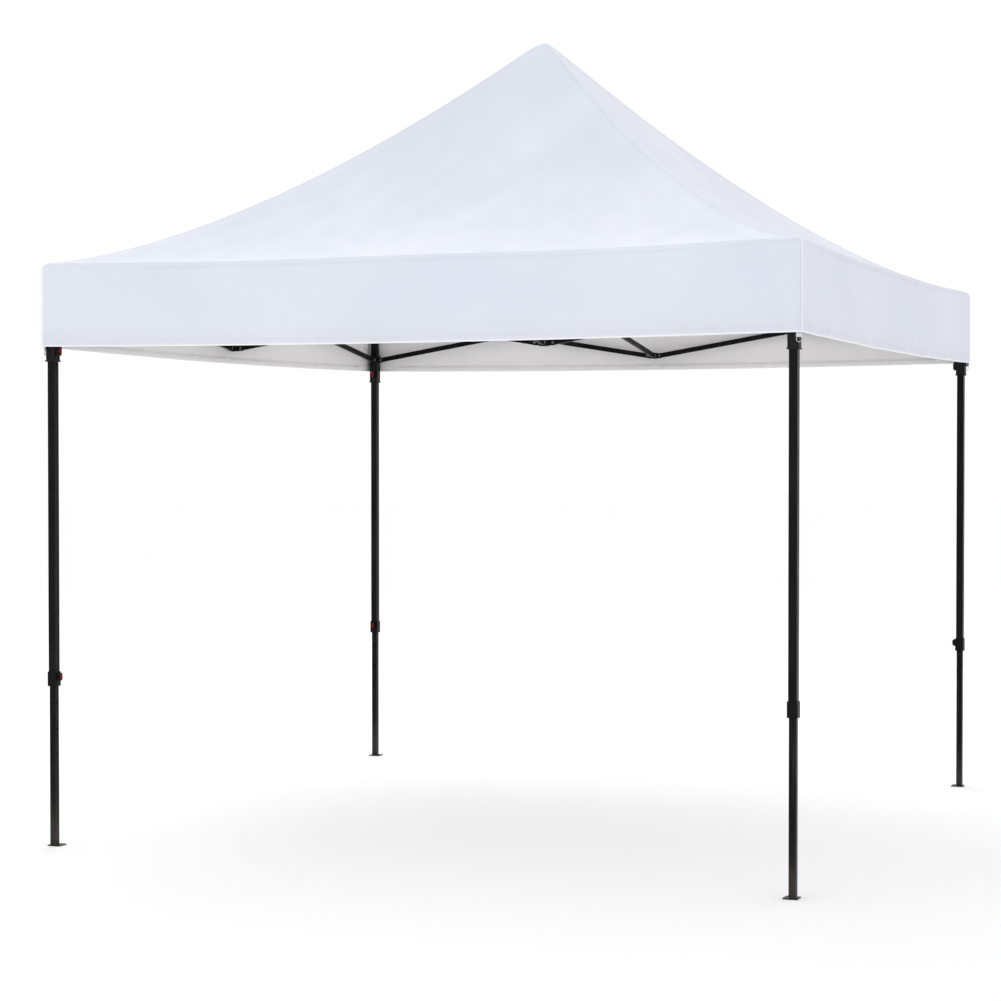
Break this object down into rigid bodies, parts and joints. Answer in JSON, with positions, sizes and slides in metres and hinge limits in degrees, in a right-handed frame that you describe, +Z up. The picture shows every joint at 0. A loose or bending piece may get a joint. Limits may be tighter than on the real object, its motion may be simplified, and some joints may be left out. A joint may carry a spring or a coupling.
{
  "type": "pop up canopy",
  "caption": "Square pop up canopy: a white peaked cloth cover with a straight valance on a black folding scissor frame with telescopic legs.",
  "frame": {"origin": "on the ground under the peak, midway between the four legs", "axes": "+Z up through the peak, -Y towards the front side, +X to the right"},
  "size_m": [3, 3, 3.23],
  "materials": {
    "cloth": "matt white coated polyester",
    "frame_tube": "satin black powder coat",
    "leg_tube": "satin black powder coat",
    "moulding": "matt black moulded plastic",
    "button": "dark red moulded plastic"
  },
  "bodies": {
    "root": {"canopy_cover": "cloth", "upper_hub": "moulding"},
    "front_inner_bar_high_hub": {"front_inner_bar_high_hub": "frame_tube"},
    "front_middle_low": {"front_middle_low": "moulding"},
    "front_inner_bar_low_hub": {"front_inner_bar_low_hub": "frame_tube"},
    "front_middle_high": {"front_middle_high": "moulding"},
    "lower_hub": {"lower_hub": "moulding", "peak_pole": "frame_tube"},
    "front_bar_right_up": {"front_bar_right_up": "frame_tube"},
    "front_bar_right_down": {"front_bar_right_down": "frame_tube"},
    "front_bar_left_up": {"front_bar_left_up": "frame_tube"},
    "front_bar_left_down": {"front_bar_left_down": "frame_tube"},
    "front_right_leg": {"front_right_outer_leg": "frame_tube", "front_right_top_bracket": "moulding"},
    "front_right_slider": {"front_right_slider": "moulding"},
    "right_inner_bar_high_hub": {"right_inner_bar_high_hub": "frame_tube"},
    "right_middle_low": {"right_middle_low": "moulding"},
    "right_inner_bar_low_hub": {"right_inner_bar_low_hub": "frame_tube"},
    "right_middle_high": {"right_middle_high": "moulding"},
    "right_bar_right_up": {"right_bar_right_up": "frame_tube"},
    "right_bar_right_down": {"right_bar_right_down": "frame_tube"},
    "right_bar_left_up": {"right_bar_left_up": "frame_tube"},
    "right_bar_left_down": {"right_bar_left_down": "frame_tube"},
    "back_right_leg": {"back_right_outer_leg": "frame_tube", "back_right_top_bracket": "moulding"},
    "back_right_slider": {"back_right_slider": "moulding"},
    "back_inner_bar_high_hub": {"back_inner_bar_high_hub": "frame_tube"},
    "back_middle_low": {"back_middle_low": "moulding"},
    "back_inner_bar_low_hub": {"back_inner_bar_low_hub": "frame_tube"},
    "back_middle_high": {"back_middle_high": "moulding"},
    "back_bar_right_up": {"back_bar_right_up": "frame_tube"},
    "back_bar_right_down": {"back_bar_right_down": "frame_tube"},
    "back_bar_left_up": {"back_bar_left_up": "frame_tube"},
    "back_bar_left_down": {"back_bar_left_down": "frame_tube"},
    "back_left_leg": {"back_left_outer_leg": "frame_tube", "back_left_top_bracket": "moulding"},
    "back_left_slider": {"back_left_slider": "moulding"},
    "left_inner_bar_high_hub": {"left_inner_bar_high_hub": "frame_tube"},
    "left_middle_low": {"left_middle_low": "moulding"},
    "left_inner_bar_low_hub": {"left_inner_bar_low_hub": "frame_tube"},
    "left_middle_high": {"left_middle_high": "moulding"},
    "left_bar_right_up": {"left_bar_right_up": "frame_tube"},
    "left_bar_right_down": {"left_bar_right_down": "frame_tube"},
    "left_bar_left_up": {"left_bar_left_up": "frame_tube"},
    "left_bar_left_down": {"left_bar_left_down": "frame_tube"},
    "front_left_leg": {"front_left_outer_leg": "frame_tube", "front_left_top_bracket": "moulding"},
    "front_left_slider": {"front_left_slider": "moulding"},
    "front_right_inner_leg": {"front_right_inner_leg": "leg_tube"},
    "front_right_slider_button": {"front_right_slider_button": "button"},
    "front_right_leg_lock_button": {"front_right_leg_lock_button": "button"},
    "back_right_inner_leg": {"back_right_inner_leg": "leg_tube"},
    "back_right_slider_button": {"back_right_slider_button": "button"},
    "back_right_leg_lock_button": {"back_right_leg_lock_button": "button"},
    "back_left_inner_leg": {"back_left_inner_leg": "leg_tube"},
    "back_left_slider_button": {"back_left_slider_button": "button"},
    "back_left_leg_lock_button": {"back_left_leg_lock_button": "button"},
    "front_left_inner_leg": {"front_left_inner_leg": "leg_tube"},
    "front_left_slider_button": {"front_left_slider_button": "button"},
    "front_left_leg_lock_button": {"front_left_leg_lock_button": "button"}
  },
  "joints": [
    {"name": "canopy_fold", "type": "hinge", "parent": "root", "child": "front_inner_bar_high_hub", "pos_m": [-0.0065, -0.038, 2.208], "axis": [1, 0, 0], "range_deg": [0, 79]},
    {"name": "front_middle_low_pivot", "type": "hinge", "parent": "front_inner_bar_high_hub", "child": "front_middle_low", "pos_m": [-0.0065, -1.437, 1.98], "axis": [1, 0, 0], "range_deg": [-79, 0]},
    {"name": "front_inner_crossing", "type": "hinge", "parent": "front_inner_bar_high_hub", "child": "front_inner_bar_low_hub", "pos_m": [0, -0.7375, 2.094], "axis": [1, 0, 0], "range_deg": [-158, 0]},
    {"name": "front_middle_high_pivot", "type": "hinge", "parent": "front_inner_bar_low_hub", "child": "front_middle_high", "pos_m": [0.0065, -1.437, 2.208], "axis": [1, 0, 0], "range_deg": [0, 79]},
    {"name": "lower_hub_pivot", "type": "hinge", "parent": "front_inner_bar_low_hub", "child": "lower_hub", "pos_m": [0.0065, -0.038, 1.98], "axis": [1, 0, 0], "range_deg": [0, 79]},
    {"name": "front_bar_right_up_pivot", "type": "hinge", "parent": "front_middle_low", "child": "front_bar_right_up", "pos_m": [0.028, -1.4715, 1.98], "axis": [0, -1, 0], "range_deg": [0, 79]},
    {"name": "front_bar_left_up_pivot", "type": "hinge", "parent": "front_middle_low", "child": "front_bar_left_up", "pos_m": [-0.028, -1.4715, 1.98], "axis": [0, 1, 0], "range_deg": [0, 79]},
    {"name": "front_bar_right_down_pivot", "type": "hinge", "parent": "front_middle_high", "child": "front_bar_right_down", "pos_m": [0.028, -1.4585, 2.208], "axis": [0, 1, 0], "range_deg": [0, 79]},
    {"name": "front_bar_left_down_pivot", "type": "hinge", "parent": "front_middle_high", "child": "front_bar_left_down", "pos_m": [-0.028, -1.4585, 2.208], "axis": [0, -1, 0], "range_deg": [0, 79]},
    {"name": "front_right_leg_top_pivot", "type": "hinge", "parent": "front_bar_right_up", "child": "front_right_leg", "pos_m": [1.427, -1.4715, 2.208], "axis": [0, -1, 0], "range_deg": [-79, 0]},
    {"name": "front_right_slider_pivot", "type": "hinge", "parent": "front_bar_right_down", "child": "front_right_slider", "pos_m": [1.427, -1.4585, 1.98], "axis": [0, 1, 0], "range_deg": [-79, 0]},
    {"name": "right_inner_bar_high_hub_pivot", "type": "hinge", "parent": "root", "child": "right_inner_bar_high_hub", "pos_m": [0.038, -0.0065, 2.208], "axis": [0, 1, 0], "range_deg": [0, 79]},
    {"name": "right_middle_low_pivot", "type": "hinge", "parent": "right_inner_bar_high_hub", "child": "right_middle_low", "pos_m": [1.437, -0.0065, 1.98], "axis": [0, 1, 0], "range_deg": [-79, 0]},
    {"name": "right_inner_crossing", "type": "hinge", "parent": "right_inner_bar_high_hub", "child": "right_inner_bar_low_hub", "pos_m": [0.7375, 0, 2.094], "axis": [0, 1, 0], "range_deg": [-158, 0]},
    {"name": "right_middle_high_pivot", "type": "hinge", "parent": "right_inner_bar_low_hub", "child": "right_middle_high", "pos_m": [1.437, 0.0065, 2.208], "axis": [0, 1, 0], "range_deg": [0, 79]},
    {"name": "right_bar_right_up_pivot", "type": "hinge", "parent": "right_middle_low", "child": "right_bar_right_up", "pos_m": [1.4715, 0.028, 1.98], "axis": [1, 0, 0], "range_deg": [0, 79]},
    {"name": "right_bar_left_up_pivot", "type": "hinge", "parent": "right_middle_low", "child": "right_bar_left_up", "pos_m": [1.4715, -0.028, 1.98], "axis": [-1, 0, 0], "range_deg": [0, 79]},
    {"name": "right_bar_right_down_pivot", "type": "hinge", "parent": "right_middle_high", "child": "right_bar_right_down", "pos_m": [1.4585, 0.028, 2.208], "axis": [-1, 0, 0], "range_deg": [0, 79]},
    {"name": "right_bar_left_down_pivot", "type": "hinge", "parent": "right_middle_high", "child": "right_bar_left_down", "pos_m": [1.4585, -0.028, 2.208], "axis": [1, 0, 0], "range_deg": [0, 79]},
    {"name": "back_right_leg_top_pivot", "type": "hinge", "parent": "right_bar_right_up", "child": "back_right_leg", "pos_m": [1.4715, 1.427, 2.208], "axis": [1, 0, 0], "range_deg": [-79, 0]},
    {"name": "back_right_slider_pivot", "type": "hinge", "parent": "right_bar_right_down", "child": "back_right_slider", "pos_m": [1.4585, 1.427, 1.98], "axis": [-1, 0, 0], "range_deg": [-79, 0]},
    {"name": "back_inner_bar_high_hub_pivot", "type": "hinge", "parent": "root", "child": "back_inner_bar_high_hub", "pos_m": [0.0065, 0.038, 2.208], "axis": [-1, 0, 0], "range_deg": [0, 79]},
    {"name": "back_middle_low_pivot", "type": "hinge", "parent": "back_inner_bar_high_hub", "child": "back_middle_low", "pos_m": [0.0065, 1.437, 1.98], "axis": [-1, 0, 0], "range_deg": [-79, 0]},
    {"name": "back_inner_crossing", "type": "hinge", "parent": "back_inner_bar_high_hub", "child": "back_inner_bar_low_hub", "pos_m": [0, 0.7375, 2.094], "axis": [-1, 0, 0], "range_deg": [-158, 0]},
    {"name": "back_middle_high_pivot", "type": "hinge", "parent": "back_inner_bar_low_hub", "child": "back_middle_high", "pos_m": [-0.0065, 1.437, 2.208], "axis": [-1, 0, 0], "range_deg": [0, 79]},
    {"name": "back_bar_right_up_pivot", "type": "hinge", "parent": "back_middle_low", "child": "back_bar_right_up", "pos_m": [-0.028, 1.4715, 1.98], "axis": [0, 1, 0], "range_deg": [0, 79]},
    {"name": "back_bar_left_up_pivot", "type": "hinge", "parent": "back_middle_low", "child": "back_bar_left_up", "pos_m": [0.028, 1.4715, 1.98], "axis": [0, -1, 0], "range_deg": [0, 79]},
    {"name": "back_bar_right_down_pivot", "type": "hinge", "parent": "back_middle_high", "child": "back_bar_right_down", "pos_m": [-0.028, 1.4585, 2.208], "axis": [0, -1, 0], "range_deg": [0, 79]},
    {"name": "back_bar_left_down_pivot", "type": "hinge", "parent": "back_middle_high", "child": "back_bar_left_down", "pos_m": [0.028, 1.4585, 2.208], "axis": [0, 1, 0], "range_deg": [0, 79]},
    {"name": "back_left_leg_top_pivot", "type": "hinge", "parent": "back_bar_right_up", "child": "back_left_leg", "pos_m": [-1.427, 1.4715, 2.208], "axis": [0, 1, 0], "range_deg": [-79, 0]},
    {"name": "back_left_slider_pivot", "type": "hinge", "parent": "back_bar_right_down", "child": "back_left_slider", "pos_m": [-1.427, 1.4585, 1.98], "axis": [0, -1, 0], "range_deg": [-79, 0]},
    {"name": "left_inner_bar_high_hub_pivot", "type": "hinge", "parent": "root", "child": "left_inner_bar_high_hub", "pos_m": [-0.038, 0.0065, 2.208], "axis": [0, -1, 0], "range_deg": [0, 79]},
    {"name": "left_middle_low_pivot", "type": "hinge", "parent": "left_inner_bar_high_hub", "child": "left_middle_low", "pos_m": [-1.437, 0.0065, 1.98], "axis": [0, -1, 0], "range_deg": [-79, 0]},
    {"name": "left_inner_crossing", "type": "hinge", "parent": "left_inner_bar_high_hub", "child": "left_inner_bar_low_hub", "pos_m": [-0.7375, 0, 2.094], "axis": [0, -1, 0], "range_deg": [-158, 0]},
    {"name": "left_middle_high_pivot", "type": "hinge", "parent": "left_inner_bar_low_hub", "child": "left_middle_high", "pos_m": [-1.437, -0.0065, 2.208], "axis": [0, -1, 0], "range_deg": [0, 79]},
    {"name": "left_bar_right_up_pivot", "type": "hinge", "parent": "left_middle_low", "child": "left_bar_right_up", "pos_m": [-1.4715, -0.028, 1.98], "axis": [-1, 0, 0], "range_deg": [0, 79]},
    {"name": "left_bar_left_up_pivot", "type": "hinge", "parent": "left_middle_low", "child": "left_bar_left_up", "pos_m": [-1.4715, 0.028, 1.98], "axis": [1, 0, 0], "range_deg": [0, 79]},
    {"name": "left_bar_right_down_pivot", "type": "hinge", "parent": "left_middle_high", "child": "left_bar_right_down", "pos_m": [-1.4585, -0.028, 2.208], "axis": [1, 0, 0], "range_deg": [0, 79]},
    {"name": "left_bar_left_down_pivot", "type": "hinge", "parent": "left_middle_high", "child": "left_bar_left_down", "pos_m": [-1.4585, 0.028, 2.208], "axis": [-1, 0, 0], "range_deg": [0, 79]},
    {"name": "front_left_leg_top_pivot", "type": "hinge", "parent": "left_bar_right_up", "child": "front_left_leg", "pos_m": [-1.4715, -1.427, 2.208], "axis": [-1, 0, 0], "range_deg": [-79, 0]},
    {"name": "front_left_slider_pivot", "type": "hinge", "parent": "left_bar_right_down", "child": "front_left_slider", "pos_m": [-1.4585, -1.427, 1.98], "axis": [1, 0, 0], "range_deg": [-79, 0]},
    {"name": "front_right_leg_length", "type": "slide", "parent": "front_right_leg", "child": "front_right_inner_leg", "axis": [0, 0, 1], "range_m": [0, 0.6]},
    {"name": "front_right_slider_button_press", "type": "slide", "parent": "front_right_slider", "child": "front_right_slider_button", "axis": [0, -1, 0], "range_m": [0, 0.004], "stiffness_N_per_m": 800, "springref_m": -0.003},
    {"name": "front_right_leg_lock_button_press", "type": "slide", "parent": "front_right_leg", "child": "front_right_leg_lock_button", "axis": [0, -1, 0], "range_m": [0, 0.004], "stiffness_N_per_m": 800, "springref_m": -0.003},
    {"name": "back_right_leg_length", "type": "slide", "parent": "back_right_leg", "child": "back_right_inner_leg", "axis": [0, 0, 1], "range_m": [0, 0.6]},
    {"name": "back_right_slider_button_press", "type": "slide", "parent": "back_right_slider", "child": "back_right_slider_button", "axis": [1, 0, 0], "range_m": [0, 0.004], "stiffness_N_per_m": 800, "springref_m": -0.003},
    {"name": "back_right_leg_lock_button_press", "type": "slide", "parent": "back_right_leg", "child": "back_right_leg_lock_button", "axis": [1, 0, 0], "range_m": [0, 0.004], "stiffness_N_per_m": 800, "springref_m": -0.003},
    {"name": "back_left_leg_length", "type": "slide", "parent": "back_left_leg", "child": "back_left_inner_leg", "axis": [0, 0, 1], "range_m": [0, 0.6]},
    {"name": "back_left_slider_button_press", "type": "slide", "parent": "back_left_slider", "child": "back_left_slider_button", "axis": [0, 1, 0], "range_m": [0, 0.004], "stiffness_N_per_m": 800, "springref_m": -0.003},
    {"name": "back_left_leg_lock_button_press", "type": "slide", "parent": "back_left_leg", "child": "back_left_leg_lock_button", "axis": [0, 1, 0], "range_m": [0, 0.004], "stiffness_N_per_m": 800, "springref_m": -0.003},
    {"name": "front_left_leg_length", "type": "slide", "parent": "front_left_leg", "child": "front_left_inner_leg", "axis": [0, 0, 1], "range_m": [0, 0.6]},
    {"name": "front_left_slider_button_press", "type": "slide", "parent": "front_left_slider", "child": "front_left_slider_button", "axis": [-1, 0, 0], "range_m": [0, 0.004], "stiffness_N_per_m": 800, "springref_m": -0.003},
    {"name": "front_left_leg_lock_button_press", "type": "slide", "parent": "front_left_leg", "child": "front_left_leg_lock_button", "axis": [-1, 0, 0], "range_m": [0, 0.004], "stiffness_N_per_m": 800, "springref_m": -0.003}
  ],
  "couplings": [
    {"joint": "front_middle_low_pivot", "follows": "canopy_fold", "ratio": -1},
    {"joint": "front_inner_crossing", "follows": "canopy_fold", "ratio": -2},
    {"joint": "front_middle_high_pivot", "follows": "canopy_fold", "ratio": 1},
    {"joint": "lower_hub_pivot", "follows": "canopy_fold", "ratio": 1},
    {"joint": "front_bar_right_up_pivot", "follows": "canopy_fold", "ratio": 1},
    {"joint": "front_bar_left_up_pivot", "follows": "canopy_fold", "ratio": 1},
    {"joint": "front_bar_right_down_pivot", "follows": "canopy_fold", "ratio": 1},
    {"joint": "front_bar_left_down_pivot", "follows": "canopy_fold", "ratio": 1},
    {"joint": "front_right_leg_top_pivot", "follows": "canopy_fold", "ratio": -1},
    {"joint": "front_right_slider_pivot", "follows": "canopy_fold", "ratio": -1},
    {"joint": "right_inner_bar_high_hub_pivot", "follows": "canopy_fold", "ratio": 1},
    {"joint": "right_middle_low_pivot", "follows": "canopy_fold", "ratio": -1},
    {"joint": "right_inner_crossing", "follows": "canopy_fold", "ratio": -2},
    {"joint": "right_middle_high_pivot", "follows": "canopy_fold", "ratio": 1},
    {"joint": "right_bar_right_up_pivot", "follows": "canopy_fold", "ratio": 1},
    {"joint": "right_bar_left_up_pivot", "follows": "canopy_fold", "ratio": 1},
    {"joint": "right_bar_right_down_pivot", "follows": "canopy_fold", "ratio": 1},
    {"joint": "right_bar_left_down_pivot", "follows": "canopy_fold", "ratio": 1},
    {"joint": "back_right_leg_top_pivot", "follows": "canopy_fold", "ratio": -1},
    {"joint": "back_right_slider_pivot", "follows": "canopy_fold", "ratio": -1},
    {"joint": "back_inner_bar_high_hub_pivot", "follows": "canopy_fold", "ratio": 1},
    {"joint": "back_middle_low_pivot", "follows": "canopy_fold", "ratio": -1},
    {"joint": "back_inner_crossing", "follows": "canopy_fold", "ratio": -2},
    {"joint": "back_middle_high_pivot", "follows": "canopy_fold", "ratio": 1},
    {"joint": "back_bar_right_up_pivot", "follows": "canopy_fold", "ratio": 1},
    {"joint": "back_bar_left_up_pivot", "follows": "canopy_fold", "ratio": 1},
    {"joint": "back_bar_right_down_pivot", "follows": "canopy_fold", "ratio": 1},
    {"joint": "back_bar_left_down_pivot", "follows": "canopy_fold", "ratio": 1},
    {"joint": "back_left_leg_top_pivot", "follows": "canopy_fold", "ratio": -1},
    {"joint": "back_left_slider_pivot", "follows": "canopy_fold", "ratio": -1},
    {"joint": "left_inner_bar_high_hub_pivot", "follows": "canopy_fold", "ratio": 1},
    {"joint": "left_middle_low_pivot", "follows": "canopy_fold", "ratio": -1},
    {"joint": "left_inner_crossing", "follows": "canopy_fold", "ratio": -2},
    {"joint": "left_middle_high_pivot", "follows": "canopy_fold", "ratio": 1},
    {"joint": "left_bar_right_up_pivot", "follows": "canopy_fold", "ratio": 1},
    {"joint": "left_bar_left_up_pivot", "follows": "canopy_fold", "ratio": 1},
    {"joint": "left_bar_right_down_pivot", "follows": "canopy_fold", "ratio": 1},
    {"joint": "left_bar_left_down_pivot", "follows": "canopy_fold", "ratio": 1},
    {"joint": "front_left_leg_top_pivot", "follows": "canopy_fold", "ratio": -1},
    {"joint": "front_left_slider_pivot", "follows": "canopy_fold", "ratio": -1}
  ]
}
